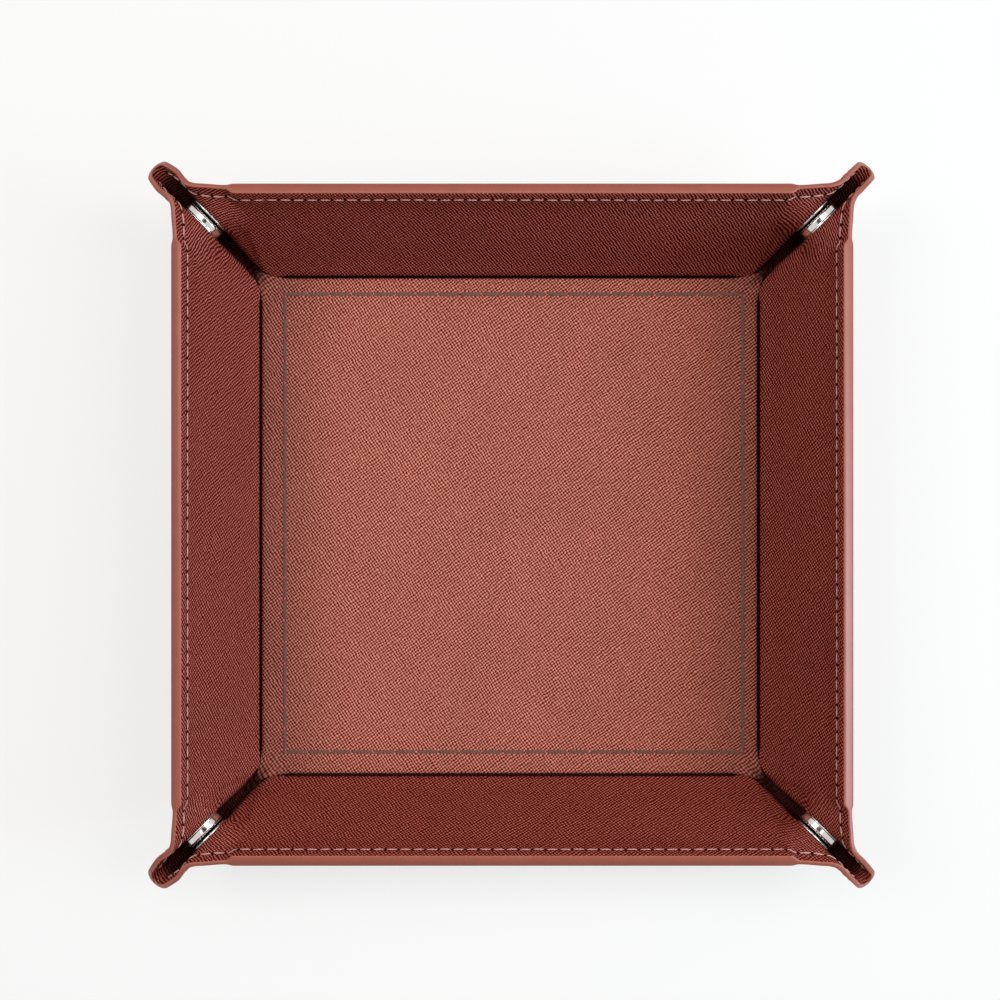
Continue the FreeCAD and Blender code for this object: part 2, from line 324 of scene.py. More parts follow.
def falling_lead(tree, place):
    """How far the falling ribs lead over the rising ones, by the place on the sheet and in small patches. The
    change by place is painted light: it stands in for how the lamps pick out one family of ribs more than the
    other; the patches are random.
    """
    axes = add_node(tree, "ShaderNodeSeparateXYZ", {0: place})
    easting, northing = axes.outputs["X"], axes.outputs["Y"]
    north = ramp(tree, northing, WALL_EDGE, WALL_FULL)
    east = ramp(tree, easting, WALL_EDGE, WALL_FULL)
    west = ramp(tree, easting, -WALL_EDGE, -WALL_FULL)
    patches = ramp(tree, cloud(tree, place, 110.0), 0.4, 0.75)
    lead = calculate(tree, "MULTIPLY_ADD", easting, LEAD_PER_METRE_EAST, BASE_LEAD)
    lead = calculate(tree, "MULTIPLY_ADD", patches, PATCH_LEAD, lead)
    lead = calculate(tree, "MULTIPLY_ADD", east, EAST_LEAD, lead)
    on_north = calculate(tree, "MULTIPLY_ADD", easting, NORTH_LEAD_PER_METRE_EAST, NORTH_LEAD)
    lead = calculate(tree, "MULTIPLY_ADD", north, on_north, lead)
    on_west = calculate(tree, "MULTIPLY_ADD", northing, WEST_LEAD_PER_METRE_NORTH, WEST_LEAD)
    return ramp(tree, calculate(tree, "MULTIPLY_ADD", west, on_west, lead), 0.0, 1.0)


def grained_leather(name, groove, body, rib, gloss):
    """Cross-hatch embossed leather: two families of broken ribs on the flat sheet, with a mottled dye,
    grooves drawn darker as painted shade, ribs drawn paler as a painted highlight, and painted shade where
    the stored share asks.
    """
    material, tree, shader = new_material(name)
    place = sheet_place(tree)
    swayed = wander(tree, place, 32.0, RIB_SWAY)
    warped = wander(tree, swayed, 460.0, RIB_JITTER)
    rising = ribs(tree, warped, RISING_RIBS, RIB_PITCH)
    falling = ribs(tree, warped, FALLING_RIBS, RIB_PITCH)
    lead = falling_lead(tree, place)
    rising_part = calculate(tree, "MULTIPLY", rising, calculate(tree, "MULTIPLY_ADD", lead, -0.5, 0.68))
    falling_part = calculate(tree, "MULTIPLY", falling, calculate(tree, "MULTIPLY_ADD", lead, 0.54, 0.12))
    beads = calculate(tree, "MULTIPLY", calculate(tree, "MULTIPLY", rising, falling), RIB_BEADS)
    crossed = calculate(tree, "ADD", calculate(tree, "ADD", rising_part, falling_part), beads)
    breaks = calculate(tree, "SUBTRACT", cloud(tree, place, 1100.0, 1.0), 0.5)
    height = calculate(tree, "MULTIPLY_ADD", breaks, RIB_BREAKS, crossed)

    # The grain's own tones, with the grooves drawn darker as painted shade and the ribs paler as a painted
    # highlight of their gloss.
    low_half = blend_colours(tree, ramp(tree, height, 0.15, 0.42), groove, body)
    ridge = ramp(tree, height, 0.5, 0.85)
    colour = blend_colours(tree, ridge, low_half, rib)
    dye = ramp(tree, cloud(tree, place, 30.0, 4.0, 0.6), 0.3, 0.7)
    mottle = blend_colours(tree, dye, (0.93, 0.92, 0.92), (1.05, 1.05, 1.05))
    dyed = blend_colours(tree, 1.0, colour, mottle, "MULTIPLY")
    # Painted shade: the stored share blends the colour towards near-black.
    hidden = add_node(tree, "ShaderNodeAttribute", attribute_name="hidden").outputs["Fac"]
    tree.links.new(blend_colours(tree, hidden, dyed, PAINTED_SHADE_TONE), shader.inputs["Base Color"])

    worn = ramp(tree, cloud(tree, place, 900.0, 2.0), 0.3, 0.7)
    tree.links.new(calculate(tree, "MULTIPLY_ADD", worn, 0.12, gloss), shader.inputs["Roughness"])
    # Where the shade is painted, the gloss is taken away too.
    open_part = calculate(tree, "SUBTRACT", 1.0, hidden)
    polish = calculate(tree, "MULTIPLY_ADD", ridge, 0.74, 0.03)
    tree.links.new(calculate(tree, "MULTIPLY", polish, open_part), shader.inputs["Specular IOR Level"])
    set_bump(tree, shader, height, GRAIN_DEPTH, 0.9)
    return material


def edge_paint():
    """Smooth painted cut edge, a little paler towards the lining, where the paler tone is a painted highlight
    of the rounded edge.
    """
    material, tree, shader = new_material("edge_paint")
    place = sheet_place(tree)
    level = add_node(tree, "ShaderNodeSeparateXYZ", {0: place}).outputs["Z"]
    towards_lining = ramp(tree, level, 0.55 * SKIN, 1.55 * SKIN)
    # Paler towards the lining: painted highlight where the rounded edge catches the light.
    tone = blend_colours(tree, towards_lining, (0.285, 0.055, 0.027), (0.33, 0.084, 0.049))
    streak = ramp(tree, cloud(tree, place, 160.0, 3.0), 0.25, 0.75)
    shade = blend_colours(tree, streak, (0.9, 0.88, 0.88), (1.05, 1.05, 1.05))
    tree.links.new(blend_colours(tree, 1.0, tone, shade, "MULTIPLY"), shader.inputs["Base Color"])
    shader.inputs["Roughness"].default_value = 0.42
    set_bump(tree, shader, cloud(tree, place, 500.0, 3.0), 0.10 * MM, 0.5)
    return material


def sewing_thread(name, dark, pale, twist):
    """Twisted thread: fine slanting plies with a little fuzz in the colour."""
    material, tree, shader = new_material(name)
    place = sheet_place(tree)
    plies = ribs(tree, place, 25, twist)
    fuzz = cloud(tree, place, 2500.0, 2.0)
    share = calculate(tree, "MULTIPLY", calculate(tree, "ADD", plies, fuzz), 0.6)
    tree.links.new(blend_colours(tree, share, dark, pale), shader.inputs["Base Color"])
    shader.inputs["Roughness"].default_value = 0.75
    shader.inputs["Sheen Weight"].default_value = 0.15
    set_bump(tree, shader, plies, 0.08 * MM, 0.6)
    return material


def needle_hole_shade():
    """Painted shade of the dent where a stitch goes through the leather: a near-black colour with faint
    flecks.
    """
    material, tree, shader = new_material("needle_hole_shade")
    fleck = ramp(tree, cloud(tree, object_place(tree), 1500.0), 0.3, 0.7)
    colour = blend_colours(tree, fleck, (0.008, 0.002, 0.002), (0.02, 0.005, 0.004))
    tree.links.new(colour, shader.inputs["Base Color"])
    shader.inputs["Roughness"].default_value = 0.9
    shader.inputs["Specular IOR Level"].default_value = 0.05
    return material


def plated_metal(name, colour, rough_low, rough_high):
    """Nickel plate with faint polishing marks and a slightly uneven surface."""
    material, tree, shader = new_material(name)
    place = object_place(tree)
    cloudy = ramp(tree, cloud(tree, place, 600.0, 3.0), 0.3, 0.7)
    tint = blend_colours(tree, cloudy, tuple(0.88 * part for part in colour), colour)
    tree.links.new(tint, shader.inputs["Base Color"])
    rough = calculate(tree, "MULTIPLY_ADD", cloudy, rough_high - rough_low, rough_low)
    tree.links.new(rough, shader.inputs["Roughness"])
    shader.inputs["Metallic"].default_value = 1.0
    set_bump(tree, shader, cloud(tree, place, 350.0, 1.0), 0.10 * MM, 0.35)
    return material


def pressed_board():
    """Grey pressed board, hidden between the leather layers."""
    material, tree, shader = new_material("pressed_board")
    fibre = cloud(tree, object_place(tree), 700.0, 5.0, 0.7)
    colour = blend_colours(tree, fibre, (0.32, 0.29, 0.25), (0.5, 0.46, 0.4))
    tree.links.new(colour, shader.inputs["Base Color"])
    shader.inputs["Roughness"].default_value = 0.9
    set_bump(tree, shader, fibre, 0.1 * MM, 0.4)
    return material


# Two copies of one leather: the base's paler, as painted light, and the rest darker, as painted shade on the
# walls, ears, creases and the base's outer face.
LIT_LEATHER = grained_leather(
    "base_leather", (0.085, 0.007, 0.004), (0.40, 0.103, 0.068), (0.66, 0.215, 0.155), 0.40
)
SHADED_LEATHER = grained_leather(
    "wall_leather", (0.045, 0.004, 0.003), (0.181, 0.0245, 0.0148), (0.43, 0.096, 0.066), 0.50
)
PAINT = edge_paint()
RIM_THREAD = sewing_thread("rim_thread", (0.40, 0.17, 0.14), (0.70, 0.40, 0.35), 0.45 * MM)
FRAME_THREAD = sewing_thread("frame_thread", (0.08, 0.028, 0.018), (0.16, 0.062, 0.042), 0.5 * MM)
HOLE_SHADE = needle_hole_shade()
NICKEL = plated_metal("nickel", (0.74, 0.71, 0.67), 0.10, 0.22)
SHADED_NICKEL = plated_metal("shaded_nickel", (0.20, 0.19, 0.18), 0.25, 0.40)
GREYBOARD = pressed_board()


def give_materials(piece, *materials):
    piece.data.materials.clear()
    for material in materials:
        piece.data.materials.append(material)


# The flat pattern of the north wall's right half: U runs along it, V up it, H from outer face to lining
def board_end(v):
    """U where the wall's board stops, at a given V."""
    return -BOARD_END_LOW * (1 - min(max(v, 0.0), RIM) / RIM)


SOFT_START = 0.9 * MM
SOFT_RUN = 2.4 * MM
DIP = 0.7 * MM
DIP_RUN = 9 * MM
RIM_SWELL = 1.1 * MM
RIM_SWELL_RUN = 9 * MM
FOOT_SWELL = 0.6 * MM
FOOT_SWELL_RUN = 8 * MM


def layer_height(u, v, h):
    """H of a point once the sheet is thick over the board, fuller at rim and foot, and thin beyond it."""
    past = u - board_end(v) - SOFT_START
    soft = ease(past / SOFT_RUN)
    dip = DIP * soft * (1 - ease((past - SOFT_RUN) / DIP_RUN))
    rim = RIM_SWELL * ease((v - RIM) / RIM_SWELL_RUN + 1)
    foot = FOOT_SWELL * (1 - ease(v / FOOT_SWELL_RUN))
    return h / SOFT * mix(THICK + rim + foot, SOFT, soft) + dip


LEAN = math.cos(TILT)
SLOPE = math.sqrt(1 + LEAN ** 2)
BEND_TIGHT = 2.5 * MM
BEND_WIDE = 7 * MM
BEND_REACH = 46 * MM


def bend_ear(u, v, h):
    """Turn what lies past the ear's fold line outwards, round a bend that widens towards the rim."""
    along = ((u - EAR_START) * LEAN + v) / SLOPE
    across = ((u - EAR_START) - v * LEAN) / SLOPE
    radius = mix(BEND_TIGHT, BEND_WIDE, ease(along / BEND_REACH))
    half = radius * EAR_TURN / 2
    middle = half - (radius - SKIN) * math.tan(EAR_TURN / 2)
    d = across - middle
    if d > -half:
        angle = min((d + half) / radius, EAR_TURN)
        past = max(d - half, 0.0)
        outward = radius + h - SKIN
        d = -half + outward * math.sin(angle) + past * math.cos(angle)
        h = SKIN - radius + outward * math.cos(angle) - past * math.sin(angle)
    across = d + middle
    return EAR_START + (along * LEAN + across) / SLOPE, (along - across * LEAN) / SLOPE, h


CREST_DEPTH = 5.0 * MM
CREST_SPARE = 0.55 * MM
CREST_TAPER = 0.0071


def turn_crest(u, v, h):
    """Roll the strip beside the diagonal up to its twin, with what it needs spare to meet it when flat."""
    e = (v - u) / ROOT_TWO
    g = (v + u) / ROOT_TWO
    if e < CREST_DEPTH:
        angle = (1 - e / CREST_DEPTH) * math.pi / 2
        spare = CREST_SPARE - CREST_TAPER * g
        e = CREST_DEPTH - (CREST_DEPTH + spare - h) * math.sin(angle)
        h = OUTER_GAP - (OUTER_GAP - h) * math.cos(angle)
    return (g - e) / ROOT_TWO, (g + e) / ROOT_TWO, h


def raise_wall(u, v, h):
    """From the flat wall to the raised north wall."""
    y = FOLD + v * math.cos(TILT) - (h - SKIN) * math.sin(TILT)
    z = SKIN + v * math.sin(TILT) + (h - SKIN) * math.cos(TILT)
    return Vector((FOLD + u, y, z))


SNAP_FLAT = 6.9 * MM
SNAP_FADE = 11.5 * MM


def pull_to_snap(spot, level):
    """Draw the leather beside a snap flat against its flange."""
    gap = (spot.y - spot.x) / ROOT_TWO
    out = (spot.x + spot.y) / ROOT_TWO
    reach = math.hypot(out - SNAP_OUT, spot.z - SNAP_HEIGHT)
    excess = max(gap - (OUTER_GAP - level), 0.0)
    pull = excess * (1 - ease((reach - SNAP_FLAT) / (SNAP_FADE - SNAP_FLAT)))
    return spot + Vector((pull, -pull, 0)) / ROOT_TWO


TIP_OPENING = {"nw": 1.5 * MM, "sw": 1.6 * MM, "ne": 0.2 * MM, "se": 0.4 * MM}
FLARE_LOW = 24 * MM
FLARE_HIGH = 36 * MM
FLARE_RUN = 7 * MM
HINGE = Vector((FOLD + EAR_START, FOLD, SKIN))
ALONG_EAR = Vector((1, 1, -2 / math.tan(TILT))).normalized()


def flare_tip(spot, opening):
    """Open the ear a little towards its tip, each corner by its own amount, but not at its fold."""
    gap = (spot.y - spot.x) / ROOT_TWO
    share = ease((spot.z - FLARE_LOW) / (FLARE_HIGH - FLARE_LOW))
    share *= ease((spot - HINGE).dot(ALONG_EAR) / FLARE_RUN)
    near = min(gap / LINING_GAP, 1.0) * (1 - ease((gap - OUTER_GAP) / (2 * OUTER_GAP)))
    push = opening * share * near
    return spot + Vector((-push, push, 0)) / ROOT_TWO


def fold_wall(spot):
    u, v = spot.x - FOLD, spot.y - FOLD
    return raise_wall(u, v, layer_height(u, v, spot.z))


def fold_past_board(spot):
    u, v = spot.x - FOLD, spot.y - FOLD
    return raise_wall(*bend_ear(u, v, layer_height(u, v, spot.z)))


def fold_ear(spot, opening):
    return flare_tip(pull_to_snap(fold_past_board(spot), spot.z), opening)


def fold_crest(spot, opening):
    rolled = turn_crest(spot.x - FOLD, spot.y - FOLD, spot.z)
    return flare_tip(raise_wall(*bend_ear(*rolled)), opening)


def slide_grain(spot):
    """Shift the lining's grain beside a snap by its pull, so that the ribs stay straight from above."""
    if spot.z < SKIN:
        return Vector(spot)
    folded = fold_past_board(spot)
    pull = pull_to_snap(folded, spot.z) - folded
    return spot + Vector((pull.x, pull.y / LEAN, 0))


# Painted edge of the sheet
RIM_FLAT = RIM + RIM_COVER
ARC_MIDDLE = RIM_FLAT - SHEET_CORNER


def rim_distance(u, v):
    """How far a flat point lies inside the sheet's edge."""
    if u > ARC_MIDDLE:
        return SHEET_CORNER - math.hypot(u - ARC_MIDDLE, v - ARC_MIDDLE)
    return RIM_FLAT - v


def on_rim(spot):
    """Whether a flat point lies on the sheet's edge."""
    return abs(rim_distance(abs(spot.x) - FOLD, spot.y - FOLD)) < 0.02 * MM


# Painted shade in the folds and the ear pinch.
PAINTED_SHADE_MOST = 0.93
PINCH_SHADE = 0.82
SHADE_START = -0.8 * MM
SHADE_RUN = 2.6 * MM
LIT_RIM = 2.5 * MM
LIT_RUN = 4 * MM


def painted_shade_in_pinch(spot):
    """How much painted shade the lining gets past the ear's fold, away from the rim."""
    u, v = spot.x - FOLD, spot.y - FOLD
    across = ((u - EAR_START) - v * LEAN) / SLOPE
    inside = ease((across - SHADE_START) / SHADE_RUN)
    below_rim = ease((rim_distance(u, v) - LIT_RIM) / LIT_RUN)
    return PINCH_SHADE * inside * below_rim if spot.z > SKIN else 0.0


def thicken_sheet(piece):
    """Give a flat panel its thickness, with a rounded painted edge along the rim."""
    finish_modifier(piece, "SOLIDIFY", thickness=SOFT, offset=1.0)
    mesh = piece.data
    for face in mesh.polygons:
        if all(on_rim(mesh.vertices[index].co) for index in face.vertices):
            face.material_index = 1

    def is_rim(first, second):
        return on_rim(first) and on_rim(second) and abs(first.z - second.z) < 0.1 * SKIN

    bevel_edges(piece, is_rim, EDGE_ROUND, 3, material=1)


# Leather pieces
def wall_leather(side, turns):
    """The straight part of a wall: both layers over the board, as one shell."""
    half = FOLD + SEAM
    columns = round(2 * half / (2 * CELL))
    rows = round(RIM / (2 * CELL))
    piece = start_grid("wall_%s_leather" % side, columns, rows)

    def lay_flat(spot):
        v = mix(WALL_LOW, RIM_FLAT, (spot.y + 1) / 2)
        return Vector((spot.x * half, FOLD + v, 0))

    move_points(piece, lay_flat)
    give_materials(piece, SHADED_LEATHER, PAINT)
    thicken_sheet(piece)

    def is_low(first, second):
        return all(abs(end.y - FOLD - WALL_LOW) < 0.01 * MM and end.z > SKIN for end in (first, second))

    bevel_edges(piece, is_low, EDGE_ROUND, 3)
    keep_sheet_place(piece, turns)
    move_points(piece, fold_wall)
    to_wall(piece, turns)
    smooth(piece)
    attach(piece, "wall_" + side)
    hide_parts("wall_%s_outer_skin" % side, "wall_%s_lining" % side)


BOARD_CUT = 6.0 * MM


def wall_board(side, turns):
    """The stiff board inside a wall, its low corners cut off so that they stay covered as the ears turn."""
    piece = start_grid("wall_%s_stiffener" % side, 1, 1)
    low_box, high_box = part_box("wall_north_board")
    low = (low_box.z - SKIN) / math.sin(TILT)
    high = (high_box.y - FOLD) / math.cos(TILT)

    def lay_flat(spot):
        v = mix(low, high, (spot.y + 1) / 2)
        return Vector((math.copysign(FOLD + board_end(v), spot.x), FOLD + v, SKIN))

    move_points(piece, lay_flat)
    give_materials(piece, GREYBOARD)
    finish_modifier(piece, "SOLIDIFY", thickness=BOARD, offset=1.0)

    def is_low_corner(first, second):
        low_ends = all(abs(end.y - FOLD - low) < 0.01 * MM for end in (first, second))
        return low_ends and abs(first.x - second.x) < 0.01 * MM

    bevel_edges(piece, is_low_corner, BOARD_CUT, 1)
    move_points(piece, lambda spot: raise_wall(spot.x - FOLD, spot.y - FOLD, spot.z))
    to_wall(piece, turns)
    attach(piece, "wall_" + side)
    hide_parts("wall_%s_board" % side)


EAR_COLUMNS = 48
EAR_ROWS = 52
CREST_EDGE = ROOT_TWO * CREST_DEPTH
ARC_TURN = math.pi / 4 - math.asin(CREST_DEPTH / SHEET_CORNER)


def ear_rim_point(share):
    """A point of the soft end's rim: straight at first, then round the sheet's corner to the crest."""
    straight = ARC_MIDDLE - SEAM
    along = share * (straight + SHEET_CORNER * ARC_TURN)
    if along <= straight:
        return SEAM + along, RIM_FLAT
    angle = (along - straight) / SHEET_CORNER
    return ARC_MIDDLE + SHEET_CORNER * math.sin(angle), ARC_MIDDLE + SHEET_CORNER * math.cos(angle)


def blend_ear(piece):
    """Bake the piece's placement into its mesh."""
    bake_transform(piece)


def ear_leather(side, turns, hand):
    """The soft end of a wall: it leaves the board, bends at the ear's fold and runs to the crest."""
    corner = CORNERS[side, hand]
    ear = "ear_%s_%s" % (corner, side)
    piece = start_grid(ear + "_leather", EAR_COLUMNS, EAR_ROWS)

    def lay_flat(spot):
        share = (spot.x + 1) / 2
        rise = (spot.y + 1) / 2
        rim_u, rim_v = ear_rim_point(share)
        low_u = mix(SEAM, WALL_LOW - CREST_EDGE, share)
        return Vector((FOLD + mix(low_u, rim_u, rise), FOLD + mix(WALL_LOW, rim_v, rise), 0))

    move_points(piece, lay_flat)
    give_materials(piece, SHADED_LEATHER, PAINT)
    thicken_sheet(piece)
    keep_sheet_place(piece, turns, hand, slide_grain)
    keep_painted_shade(piece, painted_shade_in_pinch)
    move_points(piece, lambda spot: fold_ear(spot, TIP_OPENING[corner]))
    to_wall(piece, turns, hand)
    smooth(piece)
    blend_ear(piece)
    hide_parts(ear + "_outer_skin", ear + "_lining")


CREST_COLUMNS = 10
CREST_ROWS = 44
CREST_LOW = 2.2 * MM
CREST_SLANT = 1.04


def flatten_crest(piece, side, hand):
    """Tie the rolled crest to its ear's body and give it a mesh of its own."""
    corner = CORNERS[side, hand]
    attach(piece, "ear_%s_%s" % (corner, side))
    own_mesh(piece)


def crest_leather(side, turns, hand):
    """Half of an ear's round edge, from its flat side to the diagonal."""
    corner = CORNERS[side, hand]
    piece = start_grid("ear_%s_%s_crest" % (corner, side), CREST_COLUMNS, CREST_ROWS)

    def lay_flat(spot):
        e = CREST_DEPTH * (1 - spot.x) / 2
        last = ROOT_TWO * ARC_MIDDLE + math.sqrt(SHEET_CORNER ** 2 - e ** 2)
        g = mix(CREST_LOW - CREST_SLANT * e, last, (spot.y + 1) / 2)
        return Vector((FOLD + (g - e) / ROOT_TWO, FOLD + (g + e) / ROOT_TWO, 0))

    move_points(piece, lay_flat)
    give_materials(piece, SHADED_LEATHER, PAINT)
    thicken_sheet(piece)
    keep_sheet_place(piece, turns, hand)
    keep_painted_shade(piece, painted_shade_in_pinch)
    move_points(piece, lambda spot: fold_crest(spot, TIP_OPENING[corner]))
    to_wall(piece, turns, hand)
    smooth(piece)
    flatten_crest(piece, side, hand)


CREASE_COLUMNS = 80
CREASE_ROWS = 18
CREASE_IN = -2.7 * MM
CREASE_OUT = 2.0 * MM
CREASE_END = -2.4 * MM
CREASE_RADIUS = 1.2 * MM


def fold_crease(spot):
    """Bend the strip between base and wall upwards."""
    v = spot.y - FOLD
    half = CREASE_RADIUS * TILT / 2
    h = spot.z
    if v > -half:
        angle = min((v + half) / CREASE_RADIUS, TILT)
        past = max(v - half, 0.0)
        inward = CREASE_RADIUS - (h - SKIN)
        v = -half + inward * math.sin(angle) + past * math.cos(angle)
        h = SKIN + CREASE_RADIUS - inward * math.cos(angle) + past * math.sin(angle)
    return Vector((spot.x, FOLD + v, h))


def crease_leather(side, turns):
    """The soft strip of both layers where the wall folds up from the base."""
    piece = start_grid("crease_%s_leather" % side, CREASE_COLUMNS, CREASE_ROWS)
    half = FOLD + CREASE_END

    def lay_flat(spot):
        return Vector((spot.x * half, FOLD + mix(CREASE_IN, CREASE_OUT, (spot.y + 1) / 2), 0))

    move_points(piece, lay_flat)
    give_materials(piece, SHADED_LEATHER)
    finish_modifier(piece, "SOLIDIFY", thickness=SOFT, offset=1.0)
    keep_sheet_place(piece, turns)
    # The crease's lining side takes the fullest painted shade.
    keep_painted_shade(piece, lambda spot: PAINTED_SHADE_MOST if spot.z > SKIN else 0.0)
    move_points(piece, fold_crease)
    to_wall(piece, turns)
    smooth(piece)
    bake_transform(piece)


BASE_CELLS = 84
CORNER_START = BASE_HALF - 10 * MM
CORNER_DRAW = 2.6 * MM
LINING_RISE = 2.2 * MM
BASE_COVER = 0.05 * MM
LINING_EDGE = 1.0 * MM
OUTER_EDGE = 0.3 * MM
OUTER_RISE = 1.6 * MM


def draw_corner(spot, rise):
    """Draw a base corner out along the diagonal and up, into the ear."""
    share_x = max(abs(spot.x) - CORNER_START, 0) / (BASE_HALF - CORNER_START)
    share_y = max(abs(spot.y) - CORNER_START, 0) / (BASE_HALF - CORNER_START)
    share = (share_x * share_y) ** 2
    out = CORNER_DRAW * share
    x = spot.x + math.copysign(out, spot.x)
    y = spot.y + math.copysign(out, spot.y)
    return Vector((x, y, spot.z + rise * share))


# Shares of painted shade on the base beside the walls and in its corners.
SIDE_SHADE = 0.31
SIDE_START = 50 * MM
END_SHADE = 0.08
END_START = 68 * MM
CORNER_SHADE = 0.75
CORNER_REACH = 3.5 * MM


def painted_shade_by_walls(spot):
    """Painted shade on the base: a little towards the side walls, less towards the end walls, and most in its
    drawn-out corners.
    """
    x, y = abs(spot.x), abs(spot.y)
    side = SIDE_SHADE * ease((x - SIDE_START) / (BASE_HALF - SIDE_START))
    end = END_SHADE * ease((y - END_START) / (BASE_HALF - END_START))
    corner = CORNER_SHADE * ease((min(x, y) - BASE_HALF + CORNER_REACH) / CORNER_REACH)
    return min(side + end + corner, PAINTED_SHADE_MOST)


def base_panel(name, half, low, high, edge, rise, material):
    """A square panel of the base with soft edges and its corners drawn up."""
    piece = start_grid(name, BASE_CELLS, BASE_CELLS)
    move_points(piece, lambda spot: Vector((spot.x * half, spot.y * half, low)))
    give_materials(piece, material)
    finish_modifier(piece, "SOLIDIFY", thickness=high - low, offset=1.0)

    def is_border(first, second):
        ends = (first, second)
        return any(all(abs(abs(end[axis]) - half) < 0.01 * MM for end in ends) for axis in (0, 1))

    bevel_edges(piece, is_border, edge, 4)
    keep_sheet_place(piece)
    keep_painted_shade(piece, painted_shade_by_walls)
    move_points(piece, lambda spot: draw_corner(spot, rise))
    smooth(piece)
    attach(piece, "base")
    return piece


def base_leather():
    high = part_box("base_lining")[1]
    half = high.x + BASE_COVER
    lining = base_panel("base_lining_leather", half, SKIN, high.z, LINING_EDGE, LINING_RISE, LIT_LEATHER)
    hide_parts("base_lining")
    low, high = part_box("base_outer_skin")
    outer = base_panel("base_outer_leather", high.x, low.z, high.z, OUTER_EDGE, OUTER_RISE, SHADED_LEATHER)
    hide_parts("base_outer_skin")


# Stitching
STITCH_INSET = 3.4 * MM
STITCH_PITCH = 4.1 * MM
STITCH_LENGTH = 3.8 * MM
STITCH_WIDTH = 0.441 * MM
STITCH_HEIGHT = 0.512 * MM
STITCH_FULLNESS = 0.75
STITCH_DIVE = 0.16 * MM
STITCH_LEAN = 0.05
STITCH_SHIFT = 0.06
HOLE_RADIUS = 0.48 * MM
HOLE_HEIGHT = 0.05 * MM
HOLE_ASIDE = 0.22 * MM


def one_stitch(name):
    """A short thread, thickest in the middle, that dives into the leather at both ends."""
    clear_selection()
    bpy.ops.mesh.primitive_uv_sphere_add(segments=8, ring_count=7, radius=0.5)
    piece = named(name)

    def shape(spot):
        along = spot.z * 2
        full = math.copysign(abs(along) ** STITCH_FULLNESS, along)
        return Vector((
            full * STITCH_LENGTH / 2,
            spot.y * STITCH_WIDTH,
            spot.x * STITCH_HEIGHT - STITCH_DIVE * along ** 2,
        ))

    move_points(piece, shape)
    select_only(piece)
    bpy.ops.object.mode_set(mode="EDIT")
    bpy.ops.mesh.select_all(action="SELECT")
    bpy.ops.mesh.normals_make_consistent(inside=False)
    bpy.ops.object.mode_set(mode="OBJECT")
    give_materials(piece, RIM_THREAD, HOLE_SHADE)
    return piece


def one_hole(name):
    """A small dark disc beside the end of a stitch: painted shade of its needle hole."""
    clear_selection()
    bpy.ops.mesh.primitive_cylinder_add(vertices=10, radius=HOLE_RADIUS, depth=2 * HOLE_HEIGHT)
    piece = named(name)
    give_materials(piece, RIM_THREAD, HOLE_SHADE)
    for face in piece.data.polygons:
        face.material_index = 1
    return piece


def repeat(piece, count, pitch):
    settings = {"use_relative_offset": False, "use_constant_offset": True}
    finish_modifier(piece, "ARRAY", count=count, constant_offset_displace=(pitch, 0, 0), **settings)


def join(pieces):
    clear_selection()
    for piece in pieces:
        piece.select_set(True)
    bpy.context.view_layer.objects.active = pieces[0]
    bpy.ops.object.join()
    return bpy.context.object


def stitch_row(name, count, route, face):
    """A row of stitches and needle holes, the holes as dark discs of painted shade, along a route on the flat
    sheet, on one face of the leather.
    """
    stitches = one_stitch(name)
    repeat(stitches, count, STITCH_PITCH)
    holes = one_hole(name + "_holes")
    move_points(holes, lambda spot: spot + Vector((STITCH_PITCH / 2, HOLE_ASIDE, 0)))
    repeat(holes, count, STITCH_PITCH)
    row = join([stitches, holes])
    leans = [chance.uniform(-STITCH_LEAN, STITCH_LEAN) for _ in range(count + 1)]
    shifts = [chance.uniform(-STITCH_SHIFT, STITCH_SHIFT) * MM for _ in range(count + 1)]

    def follow(spot):
        index = min(max(round(spot.x / STITCH_PITCH), 0), count)
        local = spot.x - index * STITCH_PITCH
        aside = spot.y + shifts[index] + leans[index] * local
        u, v = route(spot.x, aside)
        level = SOFT + spot.z if face > 0 else -spot.z
        return Vector((FOLD + u, FOLD + v, level))

    move_points(row, follow)
    if face < 0:
        row.data.flip_normals()
    return row


STRAIGHT_HALF = 18
ARC_RADIUS = SHEET_CORNER - STITCH_INSET


def wall_route(along, aside):
    return along - FOLD - STRAIGHT_HALF * STITCH_PITCH, RIM - STITCH_INSET + aside


def ear_route(along, aside):
    """The stitch line from the wall's last straight stitch round the sheet's corner to the diagonal."""
    u = along + (STRAIGHT_HALF + 1) * STITCH_PITCH - FOLD
    past = u - ARC_MIDDLE
    if past <= 0:
        return u, RIM - STITCH_INSET + aside
    angle = past / ARC_RADIUS
    radius = ARC_RADIUS + aside
    return ARC_MIDDLE + radius * math.sin(angle), ARC_MIDDLE + radius * math.cos(angle)


def finish_row(row, fold, turns, hand=1):
    keep_sheet_place(row, turns, hand)
    move_points(row, fold)
    to_wall(row, turns, hand)
    smooth(row, 60)


def fold_thread(spot, fold):
    """Fold a stitch with the leather it lies on, keeping its own height above the face."""
    u, v = spot.x - FOLD, spot.y - FOLD
    face = SOFT if spot.z > SKIN else 0.0
    lift = spot.z - face
    return fold(u, v, layer_height(u, v, face) + lift)


def fold_stitch_wall(spot):
    return fold_thread(spot, raise_wall)


def fold_stitch_ear(spot, opening):
    level = SOFT if spot.z > SKIN else 0.0

    def fold(u, v, h):
        e = (v - u) / ROOT_TWO
        if e < CREST_DEPTH:
            return raise_wall(*bend_ear(*turn_crest(u, v, h)))
        return pull_to_snap(raise_wall(*bend_ear(u, v, h)), level)

    return flare_tip(fold_thread(spot, fold), opening)


def wall_stitching(side, turns):
    for label, face in (("stitches", 1), ("outer_stitches", -1)):
        row = stitch_row("wall_%s_%s" % (side, label), 2 * STRAIGHT_HALF + 1, wall_route, face)
        finish_row(row, fold_stitch_wall, turns)
        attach(row, "wall_" + side)
    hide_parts("wall_%s_thread" % side)


